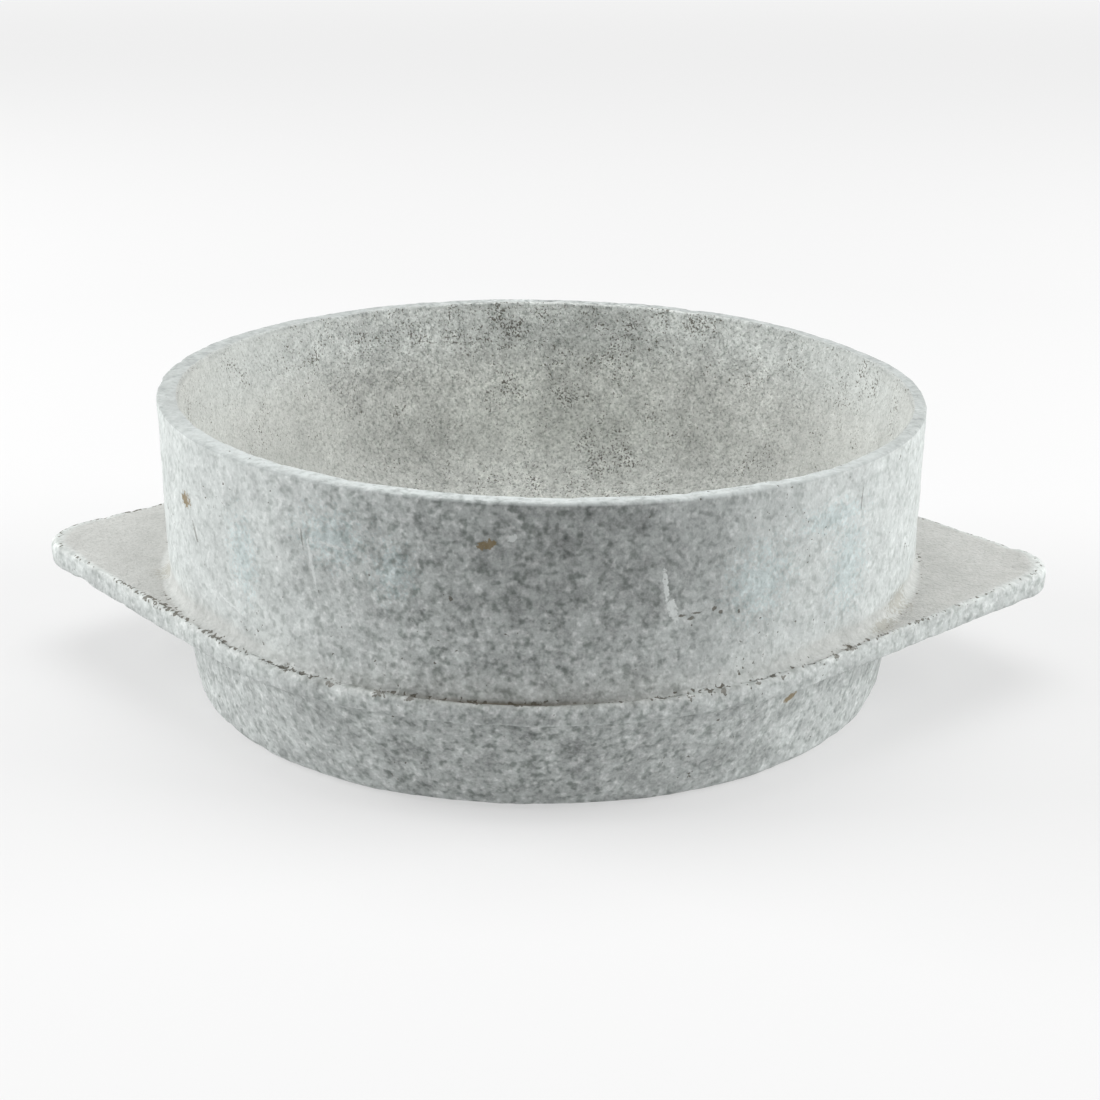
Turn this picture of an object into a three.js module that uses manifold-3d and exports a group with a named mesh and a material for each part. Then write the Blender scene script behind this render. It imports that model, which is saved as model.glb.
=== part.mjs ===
// Carved stone molcajete: one block of volcanic stone, hollowed into a round
// bowl, with a flat pointed lug left standing on each side.
// Units are millimetres, +Z is up, the bowl rests on z = 0 and is centred on the axis.
import * as THREE from 'three';
import { mergeVertices } from 'three/addons/utils/BufferGeometryUtils.js';
import Module from 'manifold-3d';

// Bowl wall, outside
const RIM_RADIUS = 101;          // outside radius at the rim
const TOTAL_HEIGHT = 78.5;       // base to rim
const WALL_FOOT_RADIUS = 100.2;  // outside radius where the wall meets the lugs
const RIM_THICKNESS = 4.8;       // width of the flat rim
const RIM_ROUNDING = 1;        // rubbed-down edges of the rim

// Lug plate, a lozenge carved round the bowl
const LUG_TOP = 31.5;            // height of the upper face of the lugs
const LUG_THICKNESS = 6.3;
const LUG_REACH = 137.5;         // axis to the end of a lug
const LUG_TIP_RADIUS = 14.6;
const LUG_WAIST_RADIUS = 103.4;  // circle the straight lug sides run into
const LUG_EDGE_BEVEL = 0.9;
const WALL_FILLET = 3.2;         // hollow between the wall and the lugs

// Ledge that carries the lug line round the front and the back
const LEDGE_RADIUS = 102.8;
const LEDGE_TOP = 29.7;

// Lower body
const BODY_TOP_RADIUS = 98;
const BODY_LOW_RADIUS = 94.6;
const BASE_CORNER = 3.2;          // rounding between the side and the flat base

// Cavity
const FLOOR_THICKNESS = 14;      // stone left under the middle of the cavity
const CAVITY_FOOT_RADIUS = 92; // where the inner wall starts to turn in
const CAVITY_CORNER = 26;
const FLOOR_DISH = 3;            // how far the floor rises from the middle to the corner

const AROUND = 96;               // divisions round the bowl

function arc(centreX, centreY, radius, fromDegrees, toDegrees, steps) {
  const points = [];
  for (let i = 0; i <= steps; i += 1) {
    const angle = THREE.MathUtils.degToRad(
      THREE.MathUtils.lerp(fromDegrees, toDegrees, i / steps),
    );
    points.push(new THREE.Vector2(
      centreX + radius * Math.cos(angle),
      centreY + radius * Math.sin(angle),
    ));
  }
  return points;
}

function turned(profile, segments) {
  const geometry = new THREE.LatheGeometry(profile, segments);
  geometry.rotateX(Math.PI / 2);
  return geometry;
}

// Outside of the bowl as one solid of revolution, from the base to the rim.
function outsideGeometry() {
  const underside = LUG_TOP - LUG_THICKNESS;
  const profile = [
    new THREE.Vector2(0, 0),
    ...arc(BODY_LOW_RADIUS - BASE_CORNER, BASE_CORNER, BASE_CORNER, -90, -8, 4),
    new THREE.Vector2(BODY_TOP_RADIUS - 1, underside - 6),
    new THREE.Vector2(BODY_TOP_RADIUS, underside - 2.5),
    new THREE.Vector2(LEDGE_RADIUS - 1, underside),
    new THREE.Vector2(LEDGE_RADIUS, underside + 1),
    new THREE.Vector2(LEDGE_RADIUS, LEDGE_TOP - 0.8),
    new THREE.Vector2(LEDGE_RADIUS - 0.8, LEDGE_TOP),
    ...arc(
      WALL_FOOT_RADIUS + WALL_FILLET,
      LEDGE_TOP + WALL_FILLET,
      WALL_FILLET,
      -100,
      -180,
      4,
    ),
    ...arc(
      RIM_RADIUS - RIM_ROUNDING,
      TOTAL_HEIGHT - RIM_ROUNDING,
      RIM_ROUNDING,
      0,
      90,
      3,
    ),
    new THREE.Vector2(0, TOTAL_HEIGHT),
  ];
  return turned(profile, AROUND);
}

// Lug plate: two rounded tips joined by straight sides that run into the waist circle.
function lugPlateGeometry() {
  const tipCentre = LUG_REACH - LUG_TIP_RADIUS;
  const lean = Math.asin((LUG_WAIST_RADIUS - LUG_TIP_RADIUS) / tipCentre);
  const meet = 90 - THREE.MathUtils.radToDeg(lean);
  const inset = LUG_EDGE_BEVEL;
  const waist = LUG_WAIST_RADIUS - inset;
  const tip = LUG_TIP_RADIUS - inset;
  const outline = [
    ...arc(tipCentre, 0, tip, -meet, meet, 10),
    ...arc(0, 0, waist, meet, 180 - meet, 30),
    ...arc(-tipCentre, 0, tip, 180 - meet, 180 + meet, 10),
    ...arc(0, 0, waist, 180 + meet, 360 - meet, 30),
  ];
  const geometry = new THREE.ExtrudeGeometry(new THREE.Shape(outline), {
    depth: LUG_THICKNESS - 2 * LUG_EDGE_BEVEL,
    bevelEnabled: true,
    bevelThickness: LUG_EDGE_BEVEL,
    bevelSize: LUG_EDGE_BEVEL,
    bevelSegments: 2,
  });
  geometry.translate(0, 0, LUG_TOP - LUG_THICKNESS + LUG_EDGE_BEVEL);
  return geometry;
}

// Hollow collar that eases the wall into the top of the lugs.
function lugFilletGeometry() {
  const inner = WALL_FOOT_RADIUS - 3;
  const profile = [
    new THREE.Vector2(inner, LUG_TOP - 1.5),
    new THREE.Vector2(WALL_FOOT_RADIUS + WALL_FILLET, LUG_TOP - 1.5),
    ...arc(
      WALL_FOOT_RADIUS + WALL_FILLET,
      LUG_TOP + WALL_FILLET - 0.05,
      WALL_FILLET,
      -90,
      -178,
      4,
    ),
    new THREE.Vector2(inner, LUG_TOP + WALL_FILLET),
    new THREE.Vector2(inner, LUG_TOP - 1.5),
  ];
  return turned(profile, AROUND);
}

// Space inside the bowl: nearly upright wall, generous corner, slightly dished floor.
function cavityGeometry() {
  const innerRim = RIM_RADIUS - RIM_THICKNESS;
  const cornerX = CAVITY_FOOT_RADIUS - CAVITY_CORNER;
  const cornerY = FLOOR_THICKNESS + FLOOR_DISH + CAVITY_CORNER;
  const above = 6;
  const profile = [
    new THREE.Vector2(0, FLOOR_THICKNESS),
    new THREE.Vector2(cornerX * 0.5, FLOOR_THICKNESS + FLOOR_DISH * 0.25),
    ...arc(cornerX, cornerY, CAVITY_CORNER, -86, -4, 9),
    new THREE.Vector2(innerRim, TOTAL_HEIGHT - RIM_ROUNDING),
    new THREE.Vector2(innerRim + RIM_ROUNDING * 0.4, TOTAL_HEIGHT - RIM_ROUNDING * 0.3),
    new THREE.Vector2(innerRim + RIM_ROUNDING, TOTAL_HEIGHT),
    new THREE.Vector2(innerRim + RIM_ROUNDING, TOTAL_HEIGHT + above),
    new THREE.Vector2(0, TOTAL_HEIGHT + above),
  ];
  return turned(profile, AROUND);
}

function toManifold(wasm, source) {
  let geometry = source.clone();
  geometry.deleteAttribute('normal');
  geometry.deleteAttribute('uv');
  geometry = mergeVertices(geometry, 1e-4);
  const positions = geometry.getAttribute('position');
  const corners = Uint32Array.from(geometry.getIndex().array);
  const kept = [];
  for (let i = 0; i < corners.length; i += 3) {
    const [a, b, c] = [corners[i], corners[i + 1], corners[i + 2]];
    if (a !== b && b !== c && c !== a) {
      kept.push(a, b, c);
    }
  }
  const mesh = new wasm.Mesh({
    numProp: 3,
    vertProperties: Float32Array.from(positions.array),
    triVerts: Uint32Array.from(kept),
  });
  return new wasm.Manifold(mesh);
}

function toGeometry(solid) {
  const mesh = solid.getMesh();
  const geometry = new THREE.BufferGeometry();
  geometry.setAttribute('position', new THREE.BufferAttribute(
    Float32Array.from(mesh.vertProperties),
    3,
  ));
  geometry.setIndex(new THREE.BufferAttribute(Uint32Array.from(mesh.triVerts), 1));
  geometry.computeVertexNormals();
  return geometry;
}

async function bowlMesh() {
  const wasm = await Module();
  wasm.setup();
  const outside = toManifold(wasm, outsideGeometry());
  const lugs = toManifold(wasm, lugPlateGeometry());
  const fillet = toManifold(wasm, lugFilletGeometry());
  const cavity = toManifold(wasm, cavityGeometry());
  const block = outside.add(lugs).add(fillet);
  const material = new THREE.MeshStandardMaterial({ color: 0xa9afac, roughness: 0.95 });
  const mesh = new THREE.Mesh(toGeometry(block.subtract(cavity)), material);
  mesh.name = 'bowl';
  return mesh;
}

const part = new THREE.Group();
part.name = 'molcajete';
part.add(await bowlMesh());

export default part;
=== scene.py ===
"""Looks of a stone molcajete: one block of volcanic stone carved into a round bowl with two lugs."""

import logging
import math
from dataclasses import dataclass, field
from enum import Enum
from typing import ClassVar

import bpy
import numpy as np
from mathutils import Matrix, Vector


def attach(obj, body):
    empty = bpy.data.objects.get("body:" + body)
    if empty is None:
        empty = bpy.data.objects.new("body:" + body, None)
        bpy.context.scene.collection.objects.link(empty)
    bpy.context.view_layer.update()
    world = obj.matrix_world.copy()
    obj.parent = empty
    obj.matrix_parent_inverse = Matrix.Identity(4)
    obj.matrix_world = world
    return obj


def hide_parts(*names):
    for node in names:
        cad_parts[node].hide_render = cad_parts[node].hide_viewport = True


LOG = logging.getLogger("molcajete")
MM = 0.001
Colour = tuple[float, float, float, float]
Amount = float | np.ndarray
Socket = bpy.types.NodeSocket
Value = Socket | float | tuple[float, ...]
WHITE: Colour = (1.0, 1.0, 1.0, 1.0)

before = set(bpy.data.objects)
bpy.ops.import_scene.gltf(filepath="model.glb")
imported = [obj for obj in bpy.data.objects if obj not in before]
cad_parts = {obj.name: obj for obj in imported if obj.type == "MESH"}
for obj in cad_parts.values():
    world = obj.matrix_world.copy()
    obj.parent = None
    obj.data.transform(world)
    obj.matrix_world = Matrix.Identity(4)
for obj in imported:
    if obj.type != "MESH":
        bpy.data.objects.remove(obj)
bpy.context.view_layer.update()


# ---------------------------------------------------------------- shared sums


def smooth(edge0: float, edge1: float, x: np.ndarray) -> np.ndarray:
    """Smooth step: 0 before edge0, 1 after edge1, and 3t^2 - 2t^3 between them.

    Args:
        edge0: where the rise starts.
        edge1: where it is complete; it may be below edge0 for a falling step.
        x: the values to grade.

    Returns:
        The graded values, from 0 to 1.
    """
    t = np.clip((x - edge0) / (edge1 - edge0), 0.0, 1.0)
    return t * t * (3.0 - 2.0 * t)


def bell(x: np.ndarray, width: float) -> np.ndarray:
    """Bell curve exp(-(x / width)^2), 1 at x = 0."""
    return np.exp(-((x / width) ** 2))


class StoneNoise:
    """Repeatable solid noise: random values on a cubic lattice, blended smoothly between corners."""

    def __init__(self, seed: int) -> None:
        """Keeps the seed that tells one noise from another."""
        self.seed = seed

    def _corner(self, cell: np.ndarray, salt: int) -> np.ndarray:
        """Hashes lattice corners to -1..1: large odd multiples of x, y, z are mixed by xor and shift.

        Args:
            cell: whole-number corners, last axis x, y, z.
            salt: changes the result for another layer.

        Returns:
            One value for each corner.
        """
        h = (
            cell[..., 0] * 73856093
            ^ cell[..., 1] * 19349663
            ^ cell[..., 2] * 83492791
            ^ (self.seed * 7919 + salt * 104729)
        )
        h = (h ^ (h >> 13)) * 1274126177
        h = (h ^ (h >> 16)) & 0xFFFFFF
        return h / 8388607.5 - 1.0

    def value(self, points: np.ndarray, size: float, salt: int = 0) -> np.ndarray:
        """Trilinear blend of the eight corners round each point, with a smooth step on each axis.

        Args:
            points: positions, last axis x, y, z.
            size: lattice spacing, in metres.
            salt: picks another layer.

        Returns:
            Noise from -1 to 1.
        """
        q = points / size
        base = np.floor(q).astype(np.int64)
        t = q - base
        t = t * t * t * (t * (t * 6.0 - 15.0) + 10.0)
        total = np.zeros(points.shape[:-1])
        for corner in range(8):
            offset = np.array([corner & 1, corner >> 1 & 1, corner >> 2 & 1])
            weight = np.where(offset, t, 1.0 - t).prod(axis=-1)
            total += weight * self._corner(base + offset, salt)
        return total

    def layers(self, points: np.ndarray, size: float, count: int, salt: int = 0) -> np.ndarray:
        """Sum of count layers of noise, each half the size and half the strength of the one before.

        Args:
            points: positions, last axis x, y, z.
            size: spacing of the coarsest layer, in metres.
            count: number of layers.
            salt: picks another set of layers.

        Returns:
            Noise of about -1 to 1.
        """
        total = np.zeros(points.shape[:-1])
        for layer in range(count):
            total += self.value(points, size / 2**layer, salt + layer) / 2**layer
        return total


def line_run(r0: Amount, z0: Amount, r1: Amount, z1: Amount, count: int,
             ease: float = 1.0) -> tuple[np.ndarray, np.ndarray]:
    """Straight run of a profile: start + (end - start) t^ease for t in equal steps, start left out.

    Args:
        r0: radius at the start, one for each angle or one for all.
        z0: height at the start.
        r1: radius at the end.
        z1: height at the end.
        count: number of stations.
        ease: above 1 crowds the stations towards the start, below 1 towards the end.

    Returns:
        Radii and heights, angles (or one row for all of them) by stations.
    """
    t = (np.arange(1, count + 1) / count)[None, :] ** ease
    r0, z0, r1, z1 = (np.atleast_1d(v)[:, None] for v in (r0, z0, r1, z1))
    return r0 + (r1 - r0) * t, z0 + (z1 - z0) * t


def arc_run(r: Amount, z: Amount, radius: Amount, start: float, end: float,
            count: int) -> tuple[np.ndarray, np.ndarray]:
    """Round run of a profile: centre + radius (cos a, sin a) for a in equal steps, start left out.

    Args:
        r: radius of the arc's centre from the axis, one for each angle or one for all.
        z: height of the arc's centre.
        radius: the arc's own radius.
        start: first angle in degrees.
        end: last angle in degrees.
        count: number of stations.

    Returns:
        Radii and heights, angles (or one row for all of them) by stations.
    """
    a = np.radians(start + (end - start) * np.arange(1, count + 1) / count)[None, :]
    r, z, radius = (np.atleast_1d(v)[:, None] for v in (r, z, radius))
    return r + radius * np.cos(a), z + radius * np.sin(a)


# ---------------------------------------------------------------- the stone bowl


class Zone(Enum):
    """Stretches of the carved profile, in order from the middle of the base."""

    BASE = 0
    FOOT = 1
    SIDE = 2
    NECK = 3
    UNDERSIDE = 4
    LUG_EDGE = 5
    LUG_TOP = 6
    FILLET = 7
    WALL = 8
    RIM_OUT = 9
    RIM = 10
    RIM_IN = 11
    INNER_WALL = 12
    INNER_CORNER = 13
    FLOOR = 14


@dataclass
class StoneBowl:
    """The whole carved block: one closed surface, angle round the bowl by station along its profile.

    Sizes are in metres, with the base's centre at the origin and the lugs along X. The ledge is the
    narrow rest of the lug plate in front and behind. corner_stop is in degrees, rim_lean is a slope,
    and wall_oval and corner_stop_height are shares of the wall's radius and of base_corner.
    """

    rim_radius: float = 101.0 * MM
    rim_width: float = 4.6 * MM
    rim_rounding: float = 0.7 * MM
    height: float = 78.5 * MM
    foot_radius: float = 100.4 * MM
    lug_top: float = 31.5 * MM
    lug_thickness: float = 6.3 * MM
    lug_reach: float = 137.3 * MM
    tip_radius: float = 14.6 * MM
    line_radius: float = 103.2 * MM
    ledge_radius: float = 102.6 * MM
    ledge_top: float = 30.2 * MM
    edge_bevel: float = 0.8 * MM
    ledge_bevel: float = 1.7 * MM
    tip_wear: float = 1.2 * MM
    fillet: float = 3.2 * MM
    ledge_fillet: float = 0.9 * MM
    neck: float = 2.4 * MM
    ledge_neck: float = 0.5 * MM
    ledge_overhang: float = 1.1 * MM
    body_top_radius: float = 97.4 * MM
    body_low_radius: float = 94.6 * MM
    base_corner: float = 3.2 * MM
    floor: float = 14.0 * MM
    floor_dish: float = 3.0 * MM
    cavity_radius: float = 92.0 * MM
    cavity_corner: float = 26.0 * MM
    cavity_shift: float = 0.9 * MM
    floor_spot: float = 4.0 * MM
    corner_stop: float = -8.0
    corner_stop_height: float = 0.86
    rim_lean: float = -0.0145
    wall_oval: float = 0.0075
    wall_shift: float = 0.3 * MM
    base_shift: float = -0.5 * MM
    pit_count: int = 80
    around: int = 640
    noise: StoneNoise = field(default_factory=lambda: StoneNoise(11))

    def angles(self) -> np.ndarray:
        """Angles round the bowl, crowded near the two lug tips: equal steps of the running sum of
        1 + 2.6 bell(distance to the nearest tip / 7 degrees).

        Returns:
            The angles in radians, from 0 to just under a full turn.
        """
        fine = np.linspace(0.0, 2.0 * np.pi, 7201)
        density = 1.0 + 2.6 * bell(self.folded(fine), math.radians(7.0))
        total = np.concatenate([[0.0], np.cumsum((density[1:] + density[:-1]) / 2)])
        wanted = np.arange(self.around) / self.around * total[-1]
        return np.interp(wanted, total, fine)

    def folded(self, theta: np.ndarray) -> np.ndarray:
        """Angle from the nearest lug's centre line, from 0 to a quarter turn."""
        return np.abs((theta + np.pi / 2) % np.pi - np.pi / 2)

    def past(self, theta: np.ndarray, start: float, end: float) -> np.ndarray:
        """Smooth step of the angle from the nearest lug: 0 before start degrees and 1 after end."""
        return smooth(math.radians(start), math.radians(end), self.folded(theta))

    def reach(self, theta: np.ndarray) -> np.ndarray:
        """Distance from the axis to the edge of the lug plate.

        Near a tip it is the tip's circle, then the straight side, whose distance from the axis is
        line_radius, and past the point where the side is nearest it eases to the ledge.

        Args:
            theta: angles round the bowl.

        Returns:
            One distance for each angle.
        """
        phi = self.folded(theta)
        centre = self.lug_reach - self.tip_radius
        lean = math.asin((self.line_radius - self.tip_radius) / centre)
        side = self.line_radius / np.sin(np.minimum(phi + lean, np.pi / 2))
        under = np.maximum(self.tip_radius**2 - (centre * np.sin(phi)) ** 2, 0.0)
        tip = centre * np.cos(phi) + np.sqrt(under)
        leave = math.atan2(self.tip_radius * math.cos(lean),
                           centre + self.tip_radius * math.sin(lean))
        reach = np.where(phi < leave, tip, side)
        return reach + (self.ledge_radius - self.line_radius) * self.past(theta, 36.0, 66.0)

    def top(self, theta: np.ndarray) -> np.ndarray:
        """Height of the lug's upper face, easing down to the ledge between the lugs."""
        return self.lug_top + (self.ledge_top - self.lug_top) * self.past(theta, 34.0, 66.0)

    def rise(self, theta: np.ndarray, points: np.ndarray) -> np.ndarray:
        """Height of each point above the lug's or the ledge's upper face at its angle."""
        return points[..., 2] - self.top(theta)[:, None]

    def profile(self, theta: np.ndarray) -> tuple[np.ndarray, np.ndarray, np.ndarray]:
        """Section of the stone at each angle, built run by run from the base's centre to the floor's.

        Args:
            theta: angles round the bowl.

        Returns:
            Radii and heights, angles by stations, and the zone number of each station.
        """
        reach, top = self.reach(theta), self.top(theta)
        low = self.lug_top - self.lug_thickness
        flush = self.past(theta, 38.0, 62.0)
        worn = bell(self.folded(theta), math.radians(7.5))
        bevel = self.edge_bevel + (self.ledge_bevel - self.edge_bevel) * flush + self.tip_wear * worn
        under = self.edge_bevel
        fillet = self.fillet + (self.ledge_fillet - self.fillet) * flush
        neck = self.neck * (1.0 - flush) + self.ledge_neck * flush
        ledge_r = self.ledge_radius - self.ledge_overhang
        neck_r = self.body_top_radius + (ledge_r - self.body_top_radius) * flush
        root_r = np.minimum(self.foot_radius + fillet, reach - bevel - 0.1 * MM)
        under_r = np.maximum(reach - under, neck_r + neck + 0.05 * MM)
        corner = self.base_corner
        corner_r = self.body_low_radius - corner
        corner_end = corner * self.corner_stop_height
        rounding = self.rim_rounding
        round_z = self.height - rounding
        inner_r = (self.rim_radius - self.rim_width) + self.cavity_shift * np.cos(theta)
        bowl_r = self.cavity_radius - self.cavity_corner
        bowl_z = self.floor + self.floor_dish
        bend_z = bowl_z + self.cavity_corner
        runs = [
            (Zone.BASE, line_run(0.0, 0.0, corner_r, 0.0, 8, 0.8)),
            (Zone.FOOT, arc_run(corner_r, corner, corner, -90.0, self.corner_stop, 9)),
            (Zone.SIDE, line_run(self.body_low_radius, corner_end, neck_r, low - neck, 11)),
            (Zone.NECK, arc_run(neck_r + neck, low - neck, neck, 180.0, 90.0, 4)),
            (Zone.UNDERSIDE, line_run(neck_r + neck, low, under_r, low, 9)),
            (Zone.LUG_EDGE, arc_run(reach - under, low + under, under, -90.0, 0.0, 3)),
            (Zone.LUG_EDGE, line_run(reach, low + under, reach, top - bevel, 4)),
            (Zone.LUG_EDGE, arc_run(reach - bevel, top - bevel, bevel, 0.0, 90.0, 5)),
            (Zone.LUG_TOP, line_run(reach - bevel, top, root_r, top, 11)),
            (Zone.FILLET, arc_run(root_r, top + fillet, fillet, -90.0, -176.0, 6)),
            (Zone.WALL, line_run(root_r - fillet, top + fillet, self.rim_radius, round_z, 32)),
            (Zone.RIM_OUT, arc_run(self.rim_radius - rounding, round_z, rounding, 0.0, 90.0, 4)),
            (Zone.RIM, line_run(self.rim_radius - rounding, self.height,
                                inner_r + rounding, self.height, 4)),
            (Zone.RIM_IN, arc_run(inner_r + rounding, round_z, rounding, 90.0, 180.0, 4)),
            (Zone.INNER_WALL, line_run(inner_r, round_z, self.cavity_radius, bend_z, 25)),
            (Zone.INNER_CORNER, arc_run(bowl_r, bend_z, self.cavity_corner, 0.0, -90.0, 10)),
            (Zone.FLOOR, line_run(bowl_r, bowl_z, self.floor_spot, self.floor, 7)),
        ]
        every_angle = np.zeros((len(theta), 1))
        full = [np.broadcast_arrays(radius, height, every_angle)[:2] for _, (radius, height) in runs]
        radii = np.concatenate([radius for radius, _ in full], axis=1)
        heights = np.concatenate([height for _, height in full], axis=1)
        zones = np.concatenate([np.full(run[0].shape[1], zone.value) for zone, run in runs])
        return radii, heights, zones

    def place(self, theta: np.ndarray, radii: np.ndarray, heights: np.ndarray) -> np.ndarray:
        """Turns the section round the axis, with the hand carver's small departures from round.

        The wall is a little wider across the lugs, radius (1 + wall_oval cos 2a); the rim leans,
        its height changing by rim_lean times x; and the wall and the lower body sit wall_shift and
        base_shift off the axis.

        Args:
            theta: angles round the bowl.
            radii: radii of the section, angles by stations.
            heights: heights of the section.

        Returns:
            Points, angles by stations by 3.
        """
        turn = theta[:, None]
        lift = smooth(self.lug_top, self.height, heights)
        above = smooth(self.lug_top, self.lug_top + 6.0 * MM, heights)
        below = smooth(self.lug_top - self.lug_thickness, self.base_corner * 1.6, heights)
        radii = radii * (1.0 + self.wall_oval * np.cos(2.0 * turn) * above)
        heights = heights + self.rim_lean * lift * radii * np.cos(turn)
        return np.stack([
            radii * np.cos(turn) + self.base_shift * below + self.wall_shift * above,
            radii * np.sin(turn),
            heights,
        ], axis=-1)

    def carve(self) -> tuple[np.ndarray, np.ndarray, dict[str, np.ndarray]]:
        """Places every point of the grid, then roughens it along its normal.

        Returns:
            Points (angles by stations by 3), zone numbers, and masks for the finish.
        """
        theta = self.angles()
        radii, heights, zones = self.profile(theta)
        points = self.place(theta, radii, heights)
        normals = self.normals(points)
        run = self.run_length(points)
        rough = self.waviness(points, zones) - self.chips(theta, points, run, zones)
        rough -= self.pits(points, zones) + self.groove(theta, run, zones)
        points = points + normals * rough[..., None]
        points[..., 2] = np.maximum(points[..., 2], 0.0)
        masks = self.masks(theta, points, run, zones)
        return points, zones, masks

    def run_length(self, points: np.ndarray) -> np.ndarray:
        """Distance travelled along the profile up to each station: the running sum of the steps."""
        steps = np.linalg.norm(np.diff(points, axis=1), axis=-1)
        return np.concatenate([np.zeros((len(points), 1)), np.cumsum(steps, axis=1)], axis=1)

    def near(self, run: np.ndarray, zones: np.ndarray, zone: Zone, width: float,
             first: bool = False) -> np.ndarray:
        """Bell curve of the distance along the profile from the end (or start) of a zone.

        Args:
            run: distance along the profile.
            zones: zone number of each station.
            zone: the zone whose end is meant.
            width: width of the bell, in metres.
            first: takes the zone's start instead.

        Returns:
            A mask, angles by stations.
        """
        stations = np.nonzero(zones == zone.value)[0]
        station = stations[0] if first else stations[-1]
        return bell(run - run[:, station : station + 1], width)

    def waviness(self, points: np.ndarray, zones: np.ndarray) -> np.ndarray:
        """Gentle unevenness of hand carving: a broad swell, tool facets that are longer round the bowl
        than they are tall, and a fine tooth left by rubbing.

        Args:
            points: positions.
            zones: zone number of each station.

        Returns:
            Distance along the normal, in metres.
        """
        flat = points * np.array([1.0, 1.0, 2.2])
        rough = 0.30 * MM * self.noise.value(points, 46 * MM, 1)
        rough += 0.15 * MM * self.noise.layers(flat, 17 * MM, 2, 5)
        rough += 0.07 * MM * self.noise.layers(points, 3.6 * MM, 2, 9)
        base = (zones == Zone.BASE.value)[None, :]
        return np.where(base, -0.3 * MM - np.abs(rough), rough)

    def chips(self, theta: np.ndarray, points: np.ndarray, run: np.ndarray,
              zones: np.ndarray) -> np.ndarray:
        """Small breaks along the carved edges: depth is noise above a level, near each edge only, and
        it is greatest at the tip of the -X lug.

        Args:
            theta: angles round the bowl.
            points: positions.
            run: distance along the profile.
            zones: zone number of each station.

        Returns:
            Depth of stone lost, in metres.
        """
        break_up = np.clip(self.noise.layers(points, 6.5 * MM, 3, 21) - 0.15, 0.0, 1.0)
        nick = np.clip(self.noise.layers(points, 2.6 * MM, 2, 31) - 0.35, 0.0, 1.0)
        turn = theta[:, None]
        left_tip = 1.0 + 1.6 * bell(turn - np.pi, 0.30)
        edges = (
            (Zone.RIM_OUT, False, 1.1 * MM, 0.24 * MM),
            (Zone.RIM_IN, True, 1.0 * MM, 0.28 * MM),
            (Zone.LUG_EDGE, False, 1.1 * MM, 0.36 * MM),
            (Zone.LUG_EDGE, True, 1.1 * MM, 0.32 * MM),
            (Zone.FOOT, False, 2.2 * MM, 0.65 * MM),
        )
        lost = np.zeros_like(run)
        for zone, first, width, depth in edges:
            lost += self.near(run, zones, zone, width, first) * depth * (break_up + 1.2 * nick)
        return lost * left_tip

    def pits(self, points: np.ndarray, zones: np.ndarray) -> np.ndarray:
        """Open pores big enough to feel: round dents, depth times a bell of the distance from each.

        Args:
            points: positions.
            zones: zone number of each station.

        Returns:
            Depth, in metres.
        """
        rng = np.random.default_rng(5)
        seen = np.nonzero((zones >= Zone.SIDE.value) & (zones != Zone.UNDERSIDE.value))[0]
        depth = np.zeros(points.shape[:2])
        for _ in range(self.pit_count):
            centre = points[rng.integers(0, points.shape[0]), seen[rng.integers(0, len(seen))]]
            radius = rng.uniform(0.9, 1.9) * MM
            away = np.linalg.norm(points - centre, axis=-1)
            depth += rng.uniform(0.12, 0.35) * radius * bell(away, radius)
        return depth

    def groove(self, theta: np.ndarray, run: np.ndarray, zones: np.ndarray) -> np.ndarray:
        """Line cut by the tool where the wall meets the ledge, deepest in front and behind.

        Args:
            theta: angles round the bowl.
            run: distance along the profile.
            zones: zone number of each station.

        Returns:
            Depth, in metres.
        """
        depth = 0.40 * MM * self.past(theta, 60.0, 84.0)[:, None]
        return depth * self.near(run, zones, Zone.LUG_TOP, 0.55 * MM)

    def normals(self, points: np.ndarray) -> np.ndarray:
        """Outward unit normals: the cross product of the steps round the bowl and along the profile.

        Args:
            points: positions, angles by stations.

        Returns:
            One normal for each point.
        """
        around = np.roll(points, -1, axis=0) - np.roll(points, 1, axis=0)
        along = np.gradient(points, axis=1)
        cross = np.cross(around, along)
        return cross / np.maximum(np.linalg.norm(cross, axis=-1, keepdims=True), 1e-12)

    def on(self, zones: np.ndarray, *wanted: Zone) -> np.ndarray:
        """1 at the stations that lie in the wanted zones, else 0, as one row."""
        return np.isin(zones, [zone.value for zone in wanted])[None, :] * 1.0

    def masks(self, theta: np.ndarray, points: np.ndarray, run: np.ndarray,
              zones: np.ndarray) -> dict[str, np.ndarray]:
        """Masks that the finish reads, each from 0 to 1.

        Args:
            theta: angles round the bowl.
            points: positions.
            run: distance along the profile.
            zones: zone number of each station.

        Returns:
            The edges' masks and the faces' masks by name, angles by stations.
        """
        masks = self.edge_masks(theta, points, run, zones) | self.face_masks(theta, points, zones)
        return {name: np.broadcast_to(values, run.shape) for name, values in masks.items()}

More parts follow.
